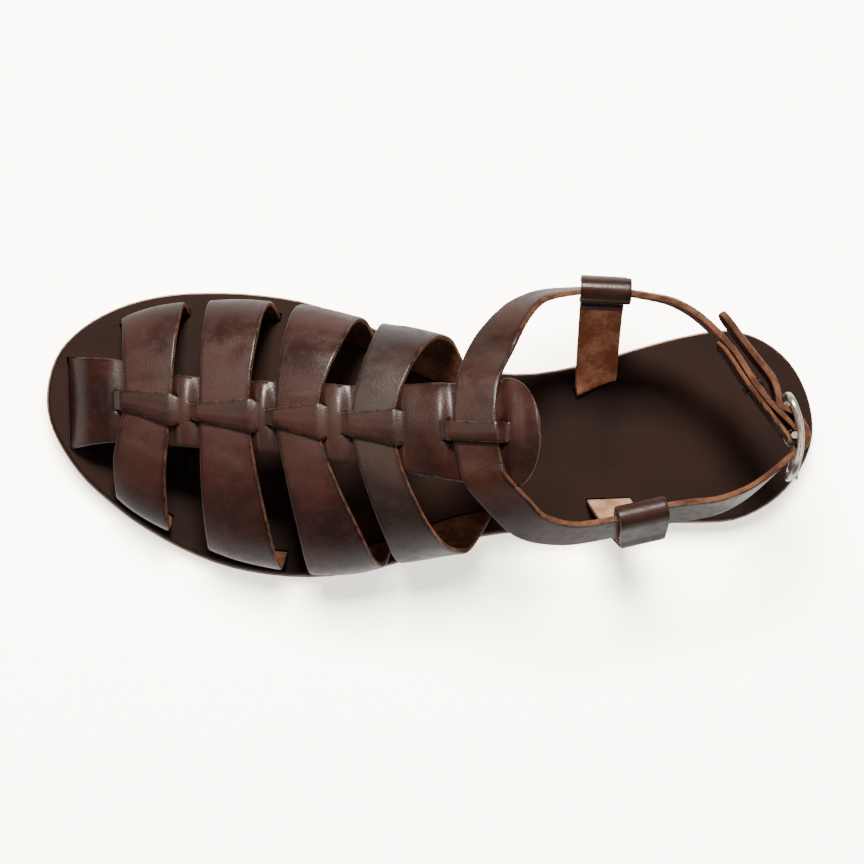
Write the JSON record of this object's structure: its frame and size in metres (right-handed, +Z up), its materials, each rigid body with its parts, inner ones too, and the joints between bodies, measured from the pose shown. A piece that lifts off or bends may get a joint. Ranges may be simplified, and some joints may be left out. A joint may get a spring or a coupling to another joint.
{
  "type": "woven fisherman sandal",
  "caption": "Dark leather fisherman sandal, left: cross straps threaded through a slit centre strip, ankle strap with keepers and a heel buckle, low heel.",
  "frame": {"origin": "middle of the sole's plan, on the floor", "axes": "+X from heel to toe along the sole, +Y to the outer side of the left foot, +Z up"},
  "size_m": [0.27, 0.1016, 0.0836],
  "materials": {
    "outsole": "matte, burnished edge",
    "heel": "matte stacked leather",
    "footbed": "smooth, satin",
    "upper": "waxed full grain, raw tan edges",
    "ankle_strap": "full grain, raw tan edges",
    "keeper": "full grain, tan flesh side",
    "buckle": "polished nickel",
    "rivet": "darkened metal"
  },
  "bodies": {
    "root": {"outsole": "outsole", "heel": "heel", "footbed": "footbed", "upper": "upper", "ankle_strap": "ankle_strap", "keeper_medial": "keeper", "keeper_lateral": "keeper", "buckle_frame": "buckle", "buckle_prong": "buckle", "strap_rivet": "rivet"}
  },
  "joints": []
}
